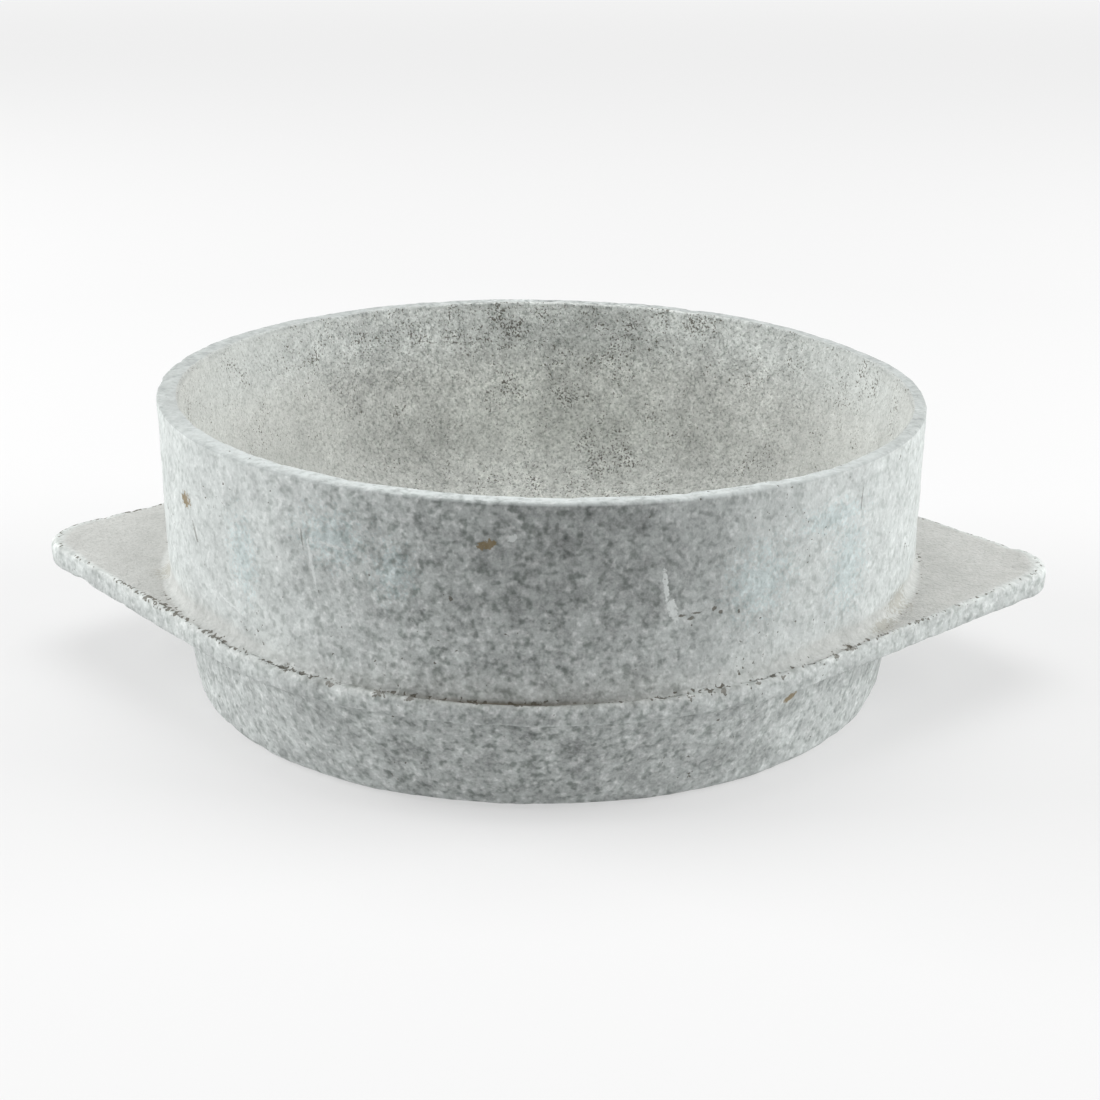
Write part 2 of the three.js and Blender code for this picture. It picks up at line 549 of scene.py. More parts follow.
    def edge_masks(self, theta: np.ndarray, points: np.ndarray, run: np.ndarray,
                   zones: np.ndarray) -> dict[str, np.ndarray]:
        """Masks that follow the carved edges.

        Args:
            theta: angles round the bowl.
            points: positions.
            run: distance along the profile.
            zones: zone number of each station.

        Returns:
            rim (the rubbed rim, mostly in front), crown (the whole rim), edge (lug and base edges),
            lip (beside the ledge's edges, where pores have opened), groove (the tool's line, mostly
            in front and behind) and dust (stone dust in the hollow above the ledge).
        """
        top_rim, turns = self.on(zones, Zone.RIM), self.on(zones, Zone.RIM_OUT, Zone.RIM_IN)
        rubbed = 0.10 + 0.90 * smooth(0.30, 0.85, -np.sin(theta))[:, None]
        crown = self.on(zones, Zone.RIM_OUT, Zone.RIM) + 0.7 * self.on(zones, Zone.RIM_IN)
        edge = np.maximum(self.near(run, zones, Zone.LUG_EDGE, 1.0 * MM),
                          self.near(run, zones, Zone.LUG_EDGE, 1.0 * MM, True))
        edge = np.maximum(edge, self.near(run, zones, Zone.FOOT, 1.6 * MM))
        lip = np.maximum(self.near(run, zones, Zone.LUG_EDGE, 1.7 * MM),
                         0.8 * self.near(run, zones, Zone.LUG_TOP, 1.1 * MM))
        deep = 0.40 + 0.60 * bell(self.folded(theta) - np.pi / 2, math.radians(10.0))
        cut = (self.past(theta, 58.0, 82.0) * deep)[:, None]
        rise = self.rise(theta, points)
        ragged = 1.0 + 0.6 * self.noise.layers(points, 14 * MM, 3, 41)
        dust = bell(np.maximum(rise - 1.0 * MM, 0.0), 4.0 * MM * ragged) * smooth(-1.4 * MM, 0.0, rise)
        return {
            "rim": (top_rim + 0.6 * turns) * rubbed,
            "crown": crown,
            "edge": edge,
            "lip": lip,
            "groove": self.near(run, zones, Zone.LUG_TOP, 0.8 * MM) * cut,
            "dust": dust * (zones < Zone.RIM_OUT.value)[None, :],
        }

    def face_masks(self, theta: np.ndarray, points: np.ndarray,
                   zones: np.ndarray) -> dict[str, np.ndarray]:
        """Masks that cover broad faces of the stone.

        Args:
            theta: angles round the bowl.
            points: positions.
            zones: zone number of each station.

        Returns:
            inside (the cavity), band (its rougher upper part, behind), lug_colour_and_root_shade
            (the flat top of the lugs and, weaker, the hollow at their roots, which is partly
            painted shade), shade (painted shade high on the front of the wall and low on the body,
            under the ledge), cheek (the sides towards the lugs, which carry painted shade in the
            hollow and a painted highlight in the grain outside) and calm (where the grain is evened
            out: on the sides a painted highlight, flattened as bright light would wash it out; on
            the lugs' tops and low in the hollow, stone rubbed even).
        """
        turn, height = theta[:, None], points[..., 2]
        sideways = np.abs(np.cos(turn))
        inside = (zones >= Zone.RIM_IN.value)[None, :] * 1.0
        outside = (zones < Zone.RIM_OUT.value)[None, :]
        behind = smooth(-0.2, 0.5, np.sin(turn))

        rise = self.rise(theta, points)
        low = bell(np.maximum(rise - 2.0 * MM, 0.0), 1.6 * MM) * (rise > -0.6 * MM)
        # Partly painted shade: the hollow at the lugs' roots is darkened with the lugs' colour.
        root = 0.55 * self.on(zones, Zone.FILLET) + 0.30 * self.on(zones, Zone.WALL) * low
        lug = 1.0 - self.past(theta, 40.0, 60.0)[:, None]
        lug_colour_and_root_shade = np.maximum(self.on(zones, Zone.LUG_TOP), root) * lug

        # Painted shade: darker high on the front of the wall, the side facing the camera, and low on the
        # body under the ledge and lugs.
        ahead = bell(turn - math.radians(280.0), math.radians(25.0))
        high = 0.30 + 0.70 * smooth(26.0 * MM, 66.0 * MM, height)
        foot = smooth(30.0 * MM, 25.0 * MM, height) * (0.30 - 0.05 * ahead)

        # The sides towards the lugs: painted shade in the hollow, and through calm a painted highlight
        # in the grain.
        cheek = smooth(0.10, 0.72, sideways)
        coarse = np.maximum(0.7 * self.on(zones, Zone.LUG_EDGE), smooth(26.0 * MM, 23.0 * MM, height))
        # Painted highlight: the grain is flattened on the brightly lit sides, outside and in the hollow;
        # low in the hollow and on the lugs' tops it is stone rubbed even.
        rubbed = 0.60 * cheek * (1.0 - 0.45 * coarse)
        ground = 0.10 + 0.52 * smooth(0.60, 0.97, sideways) + 0.16 * smooth(62.0 * MM, 34.0 * MM, height)
        calm = np.maximum(np.where(inside > 0.5, ground, rubbed), 0.58 * lug_colour_and_root_shade)
        return {
            "inside": inside,
            "band": smooth(54.0 * MM, 72.0 * MM, height) * inside * behind,
            "lug_colour_and_root_shade": np.clip(lug_colour_and_root_shade, 0.0, 1.0),
            "shade": (ahead * high + foot) * outside,
            "cheek": cheek,
            "calm": np.clip(calm, 0.0, 0.8),
        }

    def faces(self, stations: int) -> np.ndarray:
        """Corner numbers of the quads between neighbouring angles and stations.

        Args:
            stations: number of stations along the profile.

        Returns:
            Four corner numbers for each quad.
        """
        i = np.arange(self.around)[:, None]
        j = np.arange(stations - 1)[None, :]
        k = (i + 1) % self.around
        return np.stack([i * stations + j, k * stations + j, k * stations + j + 1,
                         i * stations + j + 1], axis=-1).reshape(-1, 4)

    def build(self) -> bpy.types.Object:
        """Makes the mesh: the grid's quads, and a fan of triangles at each end of the axis.

        Returns:
            The finished object.
        """
        points, zones, masks = self.carve()
        stations = len(zones)
        grid = points.reshape(-1, 3)
        total = len(grid)
        base_z = points[:, 0, 2].mean()
        floor_z = points[:, -1, 2].mean()
        vertices = np.concatenate([grid, [[0, 0, base_z], [0, 0, floor_z]]])
        i = np.arange(self.around)
        k = (i + 1) % self.around
        base_fan = np.stack([i * 0 + total, k * stations, i * stations], axis=1)
        floor_fan = np.stack([i * 0 + total + 1, i * stations + stations - 1,
                              k * stations + stations - 1], axis=1)
        polygons = [*self.faces(stations).tolist(), *base_fan.tolist(), *floor_fan.tolist()]
        mesh = bpy.data.meshes.new("stone_bowl")
        mesh.from_pydata(vertices, [], polygons)
        for name, values in masks.items():
            layer = mesh.attributes.new(name, "FLOAT", "POINT")
            flat = np.concatenate([values.reshape(-1), [values[:, 0].mean(), values[:, -1].mean()]])
            layer.data.foreach_set("value", flat.astype(np.float32))
        mesh.polygons.foreach_set("use_smooth", np.ones(len(mesh.polygons), dtype=bool))
        mesh.update()
        piece = bpy.data.objects.new("stone_bowl", mesh)
        bpy.context.scene.collection.objects.link(piece)
        return piece


# ---------------------------------------------------------------- finishes


class Nodes:
    """Short hand for wiring a node tree."""

    def __init__(self, tree: bpy.types.NodeTree) -> None:
        """Keeps the tree that the nodes go into."""
        self.tree = tree

    def add(self, kind: str, **settings: object) -> bpy.types.Node:
        """Adds a node.

        Args:
            kind: Blender's name for the kind of node.
            settings: properties to set on it.

        Returns:
            The node.
        """
        node = self.tree.nodes.new(kind)
        for name, value in settings.items():
            setattr(node, name, value)
        return node

    def link(self, source: Socket, target: Socket) -> None:
        """Joins two sockets."""
        self.tree.links.new(source, target)

    def feed(self, value: Value, socket: Socket) -> None:
        """Links a socket to value if value is one, else sets the socket's own value.

        Args:
            value: another node's output, or a constant.
            socket: the input to feed.
        """
        if isinstance(value, Socket):
            self.link(value, socket)
        else:
            socket.default_value = value

    def math(self, operation: str, a: Value, b: Value) -> Socket:
        """Math node on two values.

        Args:
            operation: Blender's name for the sum.
            a: first value.
            b: second value.

        Returns:
            The result.
        """
        node = self.add("ShaderNodeMath", operation=operation)
        self.feed(a, node.inputs[0])
        self.feed(b, node.inputs[1])
        return node.outputs[0]

    def times(self, a: Value, b: Value) -> Socket:
        """Product of two values."""
        return self.math("MULTIPLY", a, b)

    def amount(self, value: Value, gain: float, base: float) -> Socket:
        """Value times gain plus base.

        Args:
            value: the value to scale.
            gain: what it is multiplied by.
            base: what is added then.

        Returns:
            The result.
        """
        node = self.add("ShaderNodeMath", operation="MULTIPLY_ADD")
        self.feed(value, node.inputs[0])
        node.inputs[1].default_value = gain
        node.inputs[2].default_value = base
        return node.outputs[0]

    def blend(self, factor: Value, a: Value, b: Value) -> Socket:
        """Mix of two values.

        Args:
            factor: 0 for a, 1 for b.
            a: first value.
            b: second value.

        Returns:
            The value between them.
        """
        node = self.add("ShaderNodeMix", data_type="FLOAT")
        self.feed(factor, node.inputs["Factor"])
        self.feed(a, node.inputs[2])
        self.feed(b, node.inputs[3])
        return node.outputs[0]

    def mix(self, factor: Value, a: Value, b: Value, blend: str = "MIX") -> Socket:
        """Mix of two colours.

        Args:
            factor: 0 for a, 1 for b laid on a.
            a: first colour.
            b: second colour.
            blend: Blender's name for how b is laid on a.

        Returns:
            The mixed colour.
        """
        node = self.add("ShaderNodeMix", data_type="RGBA", blend_type=blend, clamp_factor=True)
        self.feed(factor, node.inputs["Factor"])
        self.feed(a, node.inputs[6])
        self.feed(b, node.inputs[7])
        return node.outputs[2]

    def scale(self, colour: Socket, value: Value) -> Socket:
        """The colour times a value.

        Args:
            colour: the colour.
            value: what it is multiplied by.

        Returns:
            The result.
        """
        node = self.add("ShaderNodeVectorMath", operation="SCALE")
        self.link(colour, node.inputs[0])
        self.feed(value, node.inputs["Scale"])
        return node.outputs[0]

    def tint(self, colour: Socket, value: float, tint: Colour) -> Socket:
        """The colour times a value, and then times another colour."""
        return self.mix(1.0, self.scale(colour, value), tint, "MULTIPLY")

    def grade(self, value: Value, low: float, high: float, out_low: float = 0.0,
              out_high: float = 1.0) -> Socket:
        """Smooth rise of a value; low may be above high for a falling one.

        Args:
            value: the value to grade.
            low: where the rise starts.
            high: where it is complete.
            out_low: the result at low and before it.
            out_high: the result at high and after it.

        Returns:
            The graded value.
        """
        node = self.add("ShaderNodeMapRange", interpolation_type="SMOOTHSTEP")
        self.feed(value, node.inputs["Value"])
        ends = {"From Min": low, "From Max": high, "To Min": out_low, "To Max": out_high}
        for name, number in ends.items():
            node.inputs[name].default_value = number
        return node.outputs["Result"]

    def noise(self, vector: Socket, scale: Value, detail: float, roughness: float) -> Socket:
        """Noise texture, about 0.5.

        Args:
            vector: positions.
            scale: features in a metre.
            detail: number of finer layers.
            roughness: strength of each finer layer beside the one before.

        Returns:
            The noise, from 0 to 1.
        """
        node = self.add("ShaderNodeTexNoise", noise_dimensions="3D")
        self.link(vector, node.inputs["Vector"])
        self.feed(scale, node.inputs["Scale"])
        node.inputs["Detail"].default_value = detail
        node.inputs["Roughness"].default_value = roughness
        return node.outputs["Fac"]

    def offset(self, vector: Socket, step: float) -> Socket:
        """The position moved by a fixed step on each axis, so another noise is read.

        Args:
            vector: positions.
            step: the move along x, in metres; it is -step along y and twice step along z.

        Returns:
            The moved positions.
        """
        node = self.add("ShaderNodeVectorMath", operation="ADD")
        self.link(vector, node.inputs[0])
        node.inputs[1].default_value = (step, -step, 2.0 * step)
        return node.outputs[0]

    def group(self, name: str, **values: Value) -> dict[str, Socket]:
        """Adds a shared group.

        Args:
            name: the group's name.
            values: what its inputs are fed with, by name.

        Returns:
            Its outputs by name.
        """
        node = self.add("ShaderNodeGroup", node_tree=bpy.data.node_groups[name])
        for socket, value in values.items():
            self.feed(value, node.inputs[socket])
        return {socket.name: socket for socket in node.outputs}

    def mask(self, name: str) -> Socket:
        """One of the mesh's own masks."""
        return self.add("ShaderNodeAttribute", attribute_name=name).outputs["Fac"]


FLOAT = "NodeSocketFloat"
VECTOR = "NodeSocketVector"


def new_group(name: str, inputs: dict[str, tuple[str, float | None]],
              outputs: tuple[str, ...]) -> tuple[Nodes, dict[str, Socket], dict[str, Socket]]:
    """Starts a shader node group with named sockets.

    Args:
        name: the group's name.
        inputs: socket name to its type and default value.
        outputs: names of its outputs, which are all values.

    Returns:
        The group's wiring helper, its input sockets and its output sockets by name.
    """
    tree = bpy.data.node_groups.new(name, "ShaderNodeTree")
    for socket, (kind, value) in inputs.items():
        made = tree.interface.new_socket(socket, in_out="INPUT", socket_type=kind)
        if value is not None:
            made.default_value = value
    for socket in outputs:
        tree.interface.new_socket(socket, in_out="OUTPUT", socket_type=FLOAT)
    nodes = Nodes(tree)
    entry = nodes.add("NodeGroupInput")
    leave = nodes.add("NodeGroupOutput")
    ins = {socket: entry.outputs[socket] for socket in inputs}
    outs = {socket: leave.inputs[socket] for socket in outputs}
    return nodes, ins, outs


def grain_group() -> None:
    """Mottle of packed mineral grains: a soft fractal tone with darker and paler grains set in it.

    Its outputs are Tone (about 0), Dark, Light and Height.
    """
    n, ins, outs = new_group(
        "grain",
        {"Vector": (VECTOR, None), "Scale": (FLOAT, 110.0)},
        ("Tone", "Dark", "Light", "Height"),
    )
    tone = n.noise(ins["Vector"], ins["Scale"], 4.0, 0.9)
    fine = n.noise(ins["Vector"], n.times(ins["Scale"], 3.6), 1.5, 0.6)
    other = n.noise(n.offset(ins["Vector"], 0.37), n.times(ins["Scale"], 4.4), 1.5, 0.6)
    dark = n.grade(fine, 0.56, 0.26)
    light = n.grade(other, 0.46, 0.76)
    relief = n.math("SUBTRACT", n.times(light, 0.3), n.times(dark, 0.6))
    n.link(n.math("SUBTRACT", tone, 0.5), outs["Tone"])
    n.link(dark, outs["Dark"])
    n.link(light, outs["Light"])
    n.link(n.math("ADD", relief, tone), outs["Height"])


def pores_group() -> None:
    """Open pores of ragged outline: the deepest hollows of a fine noise, denser in drifts.

    Its output is Mask.
    """
    n, ins, outs = new_group(
        "pores",
        {"Vector": (VECTOR, None), "Scale": (FLOAT, 900.0), "Amount": (FLOAT, 0.1)},
        ("Mask",),
    )
    hollow = n.noise(ins["Vector"], ins["Scale"], 1.5, 0.6)
    drift = n.noise(n.offset(ins["Vector"], 0.71), n.times(ins["Scale"], 0.07), 2.0, 0.6)
    level = n.math("ADD", n.times(n.math("SUBTRACT", drift, 0.5), 0.55), ins["Amount"])
    depth = n.math("SUBTRACT", n.math("ADD", level, 0.25), hollow)
    n.link(n.grade(depth, 0.0, 0.07), outs["Mask"])


def mark_group() -> None:
    """One blemish: an ellipsoid round its own place, its outline made ragged by the wobble fed in.

    Its output is Mask.
    """
    n, ins, outs = new_group(
        "mark",
        {"Vector": (VECTOR, None), "Place": (VECTOR, None), "Turn": (VECTOR, None),
         "Size": (VECTOR, None), "Wobble": (FLOAT, 0.0), "Ragged": (FLOAT, 0.8)},
        ("Mask",),
    )
    local = n.add("ShaderNodeMapping", vector_type="TEXTURE")
    feeds = {"Vector": "Vector", "Place": "Location", "Turn": "Rotation", "Size": "Scale"}
    for name, socket in feeds.items():
        n.link(ins[name], local.inputs[socket])
    away = n.add("ShaderNodeVectorMath", operation="LENGTH")
    n.link(local.outputs["Vector"], away.inputs[0])
    ragged = n.math("ADD", away.outputs["Value"], n.times(ins["Wobble"], ins["Ragged"]))
    n.link(n.grade(ragged, 1.15, 0.75), outs["Mask"])


@dataclass(frozen=True)
class Mark:
    """A blemish of the stone: where it sits on the bowl and its half sizes, in mm and degrees.

    Angle and height say where it is, width and length are measured round the bowl and up it, tilt
    turns it on the surface, radius is how far out it lies, and ragged is how broken its outline is.
    """

    angle: float
    height: float
    width: float
    length: float
    tilt: float = 0.0
    radius: float = 100.4
    ragged: float = 0.6
    depth: ClassVar[float] = 3.0 * MM

    def mask(self, n: Nodes, place: Socket, wobble: Socket) -> Socket:
        """Adds the mark's mask: its x axis points out of the bowl, y round it and z up.

        Args:
            n: the material's wiring helper.
            place: object coordinates.
            wobble: fine noise about 0.

        Returns:
            The mask.
        """
        turn = math.radians(self.angle)
        out = self.radius * MM
        where = (out * math.cos(turn), out * math.sin(turn), self.height * MM)
        size = (self.depth, self.width * MM, self.length * MM)
        node = n.group("mark", Vector=place, Wobble=wobble, Place=where, Size=size,
                       Turn=(math.radians(self.tilt), 0.0, turn), Ragged=self.ragged)
        return node["Mask"]


Marks = tuple[Mark, ...]

# Tan inclusions, pale scratches and scars, open pits, hairline cracks, stains, and bluish patches.
TAN: Marks = (
    Mark(214, 62, 2.5, 2.0), Mark(268.0, 68.5, 1.6, 1.2, 20), Mark(267.0, 67.9, 1.0, 1.0),
    Mark(312.3, 21.6, 2.3, 1.0, 14, 98.4, 0.3),
)
PALE: Marks = (
    Mark(291.0, 57.5, 0.65, 4.2, 8), Mark(292.0, 51.5, 1.1, 2.8, 16),
    Mark(225.0, 40.2, 7.5, 0.3, -13, 100.4, 0.9), Mark(242.6, 58.5, 0.45, 6.2, 8),
    Mark(246.0, 64.0, 3.5, 0.35, -6, 100.4, 1.0), Mark(271.0, 70.0, 1.1, 0.7, 30),
)
PITS: Marks = (
    Mark(293.4, 49.6, 0.9, 0.35, 0), Mark(294.6, 48.6, 0.8, 0.5, 10), Mark(295.4, 49.8, 1.1, 0.3, 0),
    Mark(298.0, 50.2, 0.7, 0.6, 0), Mark(299.0, 49.2, 0.5, 0.5, 0), Mark(262.8, 55.0, 0.55, 0.6),
    Mark(301.8, 48.5, 0.3, 0.7, 0), Mark(294.5, 29.6, 0.6, 0.7, 0, 102.0, 1.1),
    Mark(299.4, 29.8, 0.8, 0.6, 20, 102.0, 1.1), Mark(304.5, 30.0, 0.7, 0.3, 0, 102.4, 1.1),
    Mark(308.5, 30.0, 0.6, 0.4, 0, 102.4, 1.1), Mark(318.6, 30.8, 0.7, 0.7, 0, 102.6, 1.1),
    Mark(321.8, 31.2, 1.0, 0.6, 0, 103.0, 1.1), Mark(253.0, 29.9, 1.4, 0.4, 0, 102.2, 1.1),
    Mark(257.5, 29.9, 0.8, 0.4, 0, 102.2, 1.1), Mark(245.6, 30.1, 1.0, 0.5, 0, 102.4, 1.1),
    Mark(237.5, 30.6, 1.5, 0.5, 0, 102.6, 1.1),
)
CRACKS: Marks = (
    Mark(324.0, 68.0, 0.25, 3.2, 0, 101.0, 0.5), Mark(241.2, 64.5, 0.25, 2.6, 6, 100.6, 0.6),
    Mark(216.5, 55.0, 0.5, 2.4, 20),
)
SMEARS: Marks = (
    Mark(339.0, 33.6, 6.0, 2.2, 4, 101.6, 1.2), Mark(331.0, 31.6, 5.0, 0.9, 0, 102.6, 1.2),
    Mark(196.0, 32.6, 5.0, 1.2, 0, 101.6, 1.2),
)
BLUISH: Marks = (
    Mark(246.0, 66.0, 7.0, 5.0, 0, 100.4, 1.6), Mark(255.0, 60.0, 4.0, 5.0, 0, 100.4, 1.6),
    Mark(229.0, 55.0, 4.0, 8.0, 0, 100.4, 1.6), Mark(305.0, 55.0, 7.0, 7.0, 0, 100.4, 1.6),
    Mark(322.0, 52.0, 5.0, 9.0, 0, 100.4, 1.6), Mark(318.0, 66.0, 9.0, 3.0, 0, 100.8, 1.6),
)


@dataclass(frozen=True)
class VolcanicStone:
    """Dry pale grey-green stone, rubbed smooth outside, with chalky edges and dust in its hollows."""

    name: str = "volcanic_stone"
    outside: Colour = (0.512, 0.541, 0.530, 1.0)
    inside: Colour = (0.698, 0.713, 0.681, 1.0)
    lug: Colour = (0.440, 0.447, 0.433, 1.0)
    green: Colour = (0.955, 1.0, 0.965, 1.0)
    pink: Colour = (1.0, 0.975, 0.985, 1.0)
    blue: Colour = (0.90, 0.98, 1.0, 1.0)
    pore: Colour = (0.085, 0.075, 0.055, 1.0)
    tan: Colour = (0.205, 0.155, 0.080, 1.0)
    stain: Colour = (0.270, 0.255, 0.205, 1.0)
    scar: Colour = (0.600, 0.630, 0.620, 1.0)
    groove_dark: Colour = (0.110, 0.095, 0.068, 1.0)
    chalk: Colour = (0.52, 0.555, 0.548, 1.0)
    dust: Colour = (0.60, 0.580, 0.535, 1.0)
    coarse_scale: float = 140.0
    fine_scale: float = 300.0
    patch_scale: float = 60.0
    grain: float = 2.2
    inner_grain: float = 1.8
    pore_depth: float = 1.2
    bump_strength: float = 0.4
    bump_height: float = 0.35 * MM
    roughness: float = 0.93
    specular: float = 0.25

    def make(self) -> bpy.types.Material:
        """Builds the material from the shared groups and the mesh's masks.

        Returns:
            The material.
        """
        material = bpy.data.materials.new(self.name)
        material.use_nodes = True
        material.node_tree.nodes.clear()
        n = Nodes(material.node_tree)
        place = n.add("ShaderNodeTexCoord").outputs["Object"]
        inside, lug_colour_and_root_shade = n.mask("inside"), n.mask("lug_colour_and_root_shade")

        ground = self.body(n, inside, lug_colour_and_root_shade)
        ground, relief = self.mottle(n, place, ground, inside, lug_colour_and_root_shade)
        ground = self.marks(n, place, ground)
        ground = self.edges(n, place, ground)
        holes = self.holes(n, place, inside, lug_colour_and_root_shade)
        ground = n.mix(n.times(holes, 0.8), ground, self.pore)

        bump = n.add("ShaderNodeBump")
        bump.inputs["Strength"].default_value = self.bump_strength
        bump.inputs["Distance"].default_value = self.bump_height
        n.link(n.math("SUBTRACT", relief, n.times(holes, self.pore_depth)), bump.inputs["Height"])
        shader = n.add("ShaderNodeBsdfPrincipled")
        n.link(ground, shader.inputs["Base Color"])
        shader.inputs["Roughness"].default_value = self.roughness
        shader.inputs["Specular IOR Level"].default_value = self.specular
        n.link(bump.outputs["Normal"], shader.inputs["Normal"])
        end = n.add("ShaderNodeOutputMaterial")
        n.link(shader.outputs["BSDF"], end.inputs["Surface"])
        return material

    def body(self, n: Nodes, inside: Socket, lug_colour_and_root_shade: Socket) -> Socket:
        """Colour of each part of the stone before its grain, with painted shade high on the front,
        low on the body, on the hollow's sides and, in part, at the lugs' roots.

        Args:
            n: wiring helper.
            inside: mask of the cavity.
            lug_colour_and_root_shade: mask of the lugs' tops.

        Returns:
            The colour.
        """
        # The lugs' colour is also laid on the hollow at their roots, where it is partly painted shade.
        ground = n.mix(lug_colour_and_root_shade, n.mix(inside, self.outside, self.inside), self.lug)
        # Painted shade: darker high on the front wall and low on the body.
        ground = n.scale(ground, n.amount(n.mask("shade"), -0.40, 1.0))
        # Painted shade: the hollow's sides are darker towards the lugs.
        ground = n.scale(ground, n.amount(n.times(inside, n.mask("cheek")), -0.30, 1.0))
        ground = n.scale(ground, n.amount(n.mask("crown"), -0.26, 1.0))
        return n.mix(n.times(n.mask("band"), 0.55), ground, self.outside)

    def mottle(self, n: Nodes, place: Socket, ground: Socket, inside: Socket,
               lug_colour_and_root_shade: Socket) -> tuple[Socket, Socket]:
        """Grains of the stone: coarse outside, finer in the hollow and on the lugs' flat tops.

        Args:
            n: wiring helper.
            place: object coordinates.
            ground: colour so far.
            inside: mask of the cavity.
            lug_colour_and_root_shade: mask of the lugs' tops.

        Returns:
            The colour and the relief.
        """
        coarse = n.group("grain", Vector=place, Scale=self.coarse_scale)
        fine = n.group("grain", Vector=place, Scale=self.fine_scale)
        patch = n.amount(n.noise(place, self.patch_scale, 3.0, 0.65), 0.9, -0.45)
        inner = n.math("ADD", n.times(fine["Tone"], self.inner_grain), patch)
        close = n.math("MAXIMUM", inside, n.times(lug_colour_and_root_shade, 0.8))
        tone = n.blend(close, n.times(coarse["Tone"], self.grain), inner)
        dark = n.blend(close, coarse["Dark"], fine["Dark"])
        light = n.blend(close, coarse["Light"], n.times(fine["Light"], 0.6))
        # calm flattens the grain; on the sides this is a painted highlight.
        lively = n.amount(n.mask("calm"), -1.0, 1.0)
        ground = n.scale(ground, n.amount(n.times(tone, lively), 1.0, 1.0))
        ground = n.mix(n.times(dark, lively), ground, n.tint(ground, 0.52, self.green))
        ground = n.mix(n.times(light, lively), ground, n.tint(ground, 1.38, self.pink))
        return ground, n.blend(close, coarse["Height"], fine["Height"])

    def marks(self, n: Nodes, place: Socket, ground: Socket) -> Socket:
        """Inclusions, scratches, cracks, smears and bluish patches, each in its own place.

        Args:
            n: wiring helper.
            place: object coordinates.
            ground: colour so far.

        Returns:
            The colour with the marks.
        """
        wobble = n.amount(n.noise(place, 1100.0, 2.0, 0.6), 4.0, -2.0)
        for marks, strength, colour in (
            (BLUISH, 0.7, n.tint(ground, 1.06, self.blue)),
            (SMEARS, 0.50, self.stain),
            (TAN, 0.85, self.tan),
            (PALE, 0.9, self.scar),
            (CRACKS, 0.50, self.pore),
            (PITS, 0.75, self.pore),
        ):
            mask = marks[0].mask(n, place, wobble)
            for mark in marks[1:]:
                mask = n.math("MAXIMUM", mask, mark.mask(n, place, wobble))
            ground = n.mix(n.times(mask, strength), ground, colour)
        return ground

    def edges(self, n: Nodes, place: Socket, ground: Socket) -> Socket:
        """Dust above the ledge, chalky rubbed edges, and the dark line of the groove.

        Args:
            n: wiring helper.
            place: object coordinates.
            ground: colour so far.

        Returns:
            The colour with the edges.
        """
        broken = n.grade(n.noise(place, 420.0, 3.0, 0.7), 0.36, 0.58, 0.35, 1.0)
        ground = n.mix(n.times(n.mask("dust"), 0.13), ground, self.dust)
        for name, strength in (("rim", 0.85), ("edge", 0.15)):
            chalky = n.times(n.times(n.mask(name), strength), broken)
            ground = n.mix(chalky, ground, self.chalk)
        # A dark line painted along the groove, in the crease above the ledge.
        return n.mix(n.times(n.mask("groove"), 0.95), ground, self.groove_dark)

    def holes(self, n: Nodes, place: Socket, inside: Socket, lug_colour_and_root_shade: Socket) -> Socket:
        """Pores: a few outside, many small ones in the hollow, and a row beside the ledge's edges.

        Args:
            n: wiring helper.
            place: object coordinates.
            inside: mask of the cavity.
            lug_colour_and_root_shade: mask of the lugs' tops.

        Returns:
            The mask of the pores.
        """
        beside = n.amount(n.mask("lip"), 0.39, -0.165)
        within = n.math("ADD", n.amount(n.mask("cheek"), -0.05, 0.12), n.times(n.mask("band"), 0.05))
        few = n.group("pores", Vector=place, Scale=800.0, Amount=n.amount(lug_colour_and_root_shade, -0.03, -0.004))
        row = n.group("pores", Vector=place, Scale=820.0, Amount=beside)
        many = n.group("pores", Vector=place, Scale=1500.0, Amount=within)
        outer = n.math("MAXIMUM", few["Mask"], row["Mask"])
        return n.math("MAXIMUM", outer, n.times(many["Mask"], inside))


# ---------------------------------------------------------------- studio


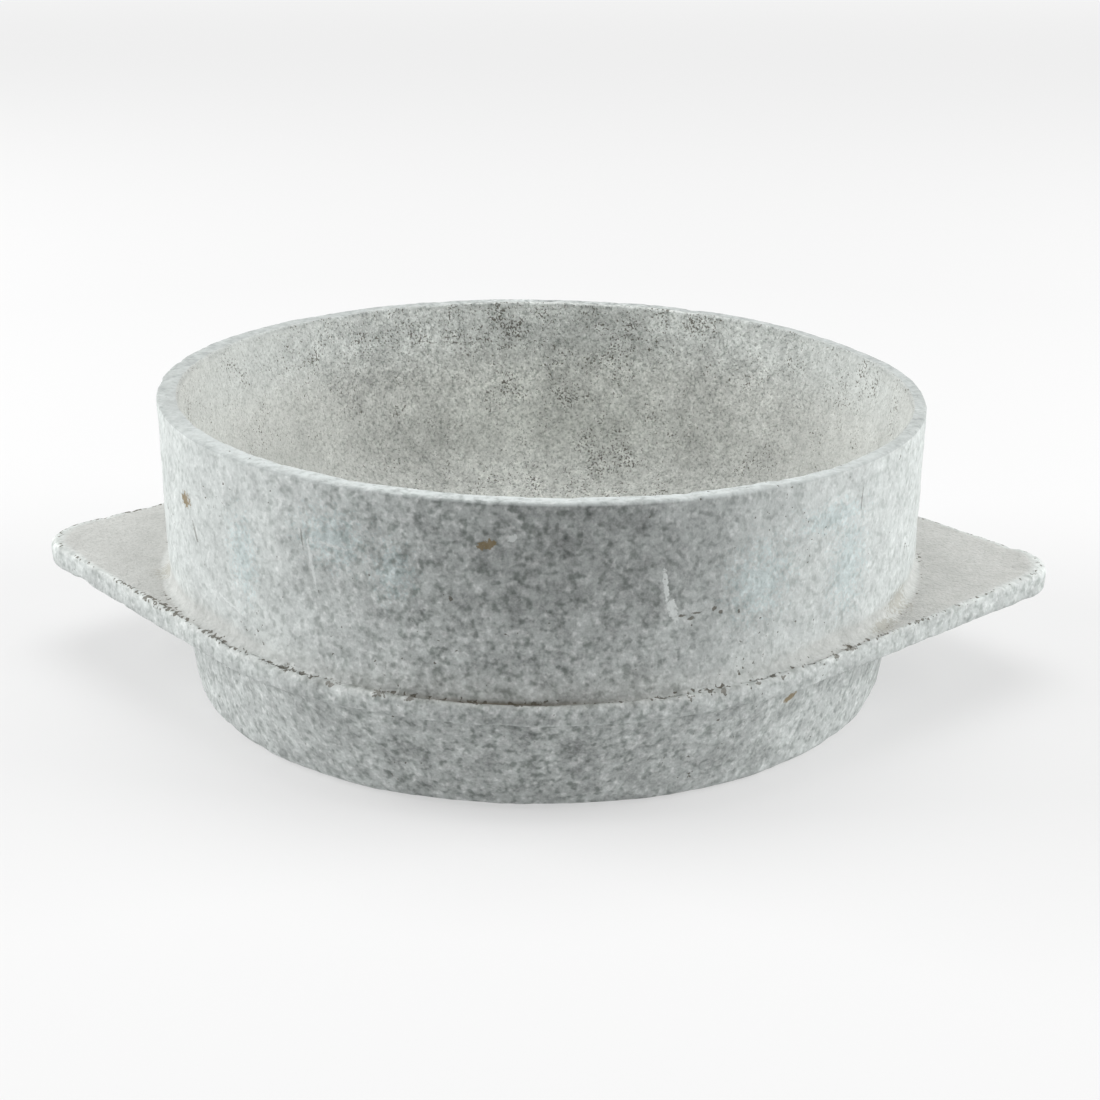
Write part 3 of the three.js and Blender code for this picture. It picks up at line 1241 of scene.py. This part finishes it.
@dataclass
class Studio:
    """Pale floor, soft lights and the camera."""

    lens: float = 65.0
    sensor: float = 36.0
    distance: float = 549.0 * MM
    azimuth: float = 4.3
    elevation: float = 20.02
    roll: float = 0.2
    aim_side: float = 2.54 * MM
    aim_height: float = 30.97 * MM
    floor_half: float = 40.0
    floor_drop: float = 0.2 * MM
    floor_colour: Colour = (0.30, 0.30, 0.30, 1.0)
    glow: float = 0.50
    far_glow: float = 0.78
    near_ring: float = 0.5
    far_ring: float = 2.5
    ambient: float = 0.33
    backdrop: float = 0.9
    left: float = 21.0
    right: float = 19.0
    top: float = 13.6
    lamp_aim: float = 50.0 * MM

    def camera(self) -> None:
        """Places the camera on its bearing round the bowl, looking a little below its middle."""
        a, e = math.radians(self.azimuth), math.radians(self.elevation)
        back = Vector((math.sin(a) * math.cos(e), -math.cos(a) * math.cos(e), math.sin(e)))
        right = Vector((math.cos(a), math.sin(a), 0.0))
        target = right * self.aim_side + Vector((0.0, 0.0, self.aim_height))
        data = bpy.data.cameras.new("camera")
        data.lens = self.lens
        data.sensor_width = self.sensor
        data.clip_end = 50.0
        camera = bpy.data.objects.new("camera", data)
        bpy.context.scene.collection.objects.link(camera)
        turn = back.to_track_quat("Z", "Y").to_matrix()
        turn = turn @ Matrix.Rotation(math.radians(self.roll), 3, "Z")
        camera.matrix_world = Matrix.Translation(target + back * self.distance) @ turn.to_4x4()
        bpy.context.scene.camera = camera

    def floor(self) -> None:
        """Lays a wide pale floor under the bowl, lit through, a little more so further away."""
        half = self.floor_half
        corners = [(-half, -half, 0.0), (half, -half, 0.0), (half, half, 0.0), (-half, half, 0.0)]
        mesh = bpy.data.meshes.new("floor")
        mesh.from_pydata(corners, [], [(0, 1, 2, 3)])
        floor = bpy.data.objects.new("floor", mesh)
        floor.location.z = -self.floor_drop
        bpy.context.scene.collection.objects.link(floor)
        material = bpy.data.materials.new("pale_floor")
        material.use_nodes = True
        n = Nodes(material.node_tree)
        shader = material.node_tree.nodes["Principled BSDF"]
        shader.inputs["Base Color"].default_value = self.floor_colour
        shader.inputs["Emission Color"].default_value = WHITE
        shader.inputs["Roughness"].default_value = 0.9
        shader.inputs["Specular IOR Level"].default_value = 0.1
        away = n.add("ShaderNodeVectorMath", operation="LENGTH")
        n.link(n.add("ShaderNodeTexCoord").outputs["Object"], away.inputs[0])
        rise = n.add("ShaderNodeMapRange")
        n.link(away.outputs["Value"], rise.inputs["Value"])
        ends = {"From Min": self.near_ring, "From Max": self.far_ring,
                "To Min": self.glow, "To Max": self.far_glow}
        for name, value in ends.items():
            rise.inputs[name].default_value = value
        n.link(rise.outputs["Result"], shader.inputs["Emission Strength"])
        mesh.materials.append(material)

    def lamp(self, name: str, place: tuple[float, float, float], size: float, power: float) -> None:
        """Adds a square soft light that points at the bowl.

        Args:
            name: the lamp's name.
            place: where it hangs, in metres.
            size: its side, in metres.
            power: its power in watts.
        """
        data = bpy.data.lights.new(name, "AREA")
        data.shape = "SQUARE"
        data.size = size
        data.energy = power
        lamp = bpy.data.objects.new(name, data)
        bpy.context.scene.collection.objects.link(lamp)
        aim = Vector((0.0, 0.0, self.lamp_aim)) - Vector(place)
        turn = aim.to_track_quat("-Z", "Y").to_matrix().to_4x4()
        lamp.matrix_world = Matrix.Translation(place) @ turn

    def world(self) -> None:
        """Sets the surrounding light, and a pale backdrop that only the camera sees."""
        world = bpy.data.worlds.new("studio")
        bpy.context.scene.world = world
        world.use_nodes = True
        n = Nodes(world.node_tree)
        around = world.node_tree.nodes["Background"]
        seen = n.add("ShaderNodeBackground")
        for node, strength in ((around, self.ambient), (seen, self.backdrop)):
            node.inputs["Color"].default_value = WHITE
            node.inputs["Strength"].default_value = strength
        either = n.add("ShaderNodeMixShader")
        n.link(n.add("ShaderNodeLightPath").outputs["Is Camera Ray"], either.inputs["Fac"])
        n.link(around.outputs["Background"], either.inputs[1])
        n.link(seen.outputs["Background"], either.inputs[2])
        n.link(either.outputs["Shader"], world.node_tree.nodes["World Output"].inputs["Surface"])

    def build(self) -> None:
        """Makes the camera, the floor and the light: a box on each side and one overhead."""
        self.camera()
        self.floor()
        self.world()
        self.lamp("left_box", (-1.3, 0.1, 0.6), 0.9, self.left)
        self.lamp("right_box", (1.3, 0.1, 0.6), 0.9, self.right)
        self.lamp("top_box", (0.0, 0.25, 1.5), 1.2, self.top)


def main() -> None:
    """Builds the studio, the stone and its finish, in that order."""
    logging.basicConfig(level=logging.INFO, format="%(name)s: %(message)s")
    bpy.context.scene.view_settings.view_transform = "Standard"
    Studio().build()
    grain_group()
    pores_group()
    mark_group()
    bowl = StoneBowl()
    piece = bowl.build()
    piece.data.materials.append(VolcanicStone().make())
    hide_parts("bowl")
    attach(piece, "root")
    LOG.info("%s: %d faces", piece.name, len(piece.data.polygons))


if __name__ == "__main__":
    main()
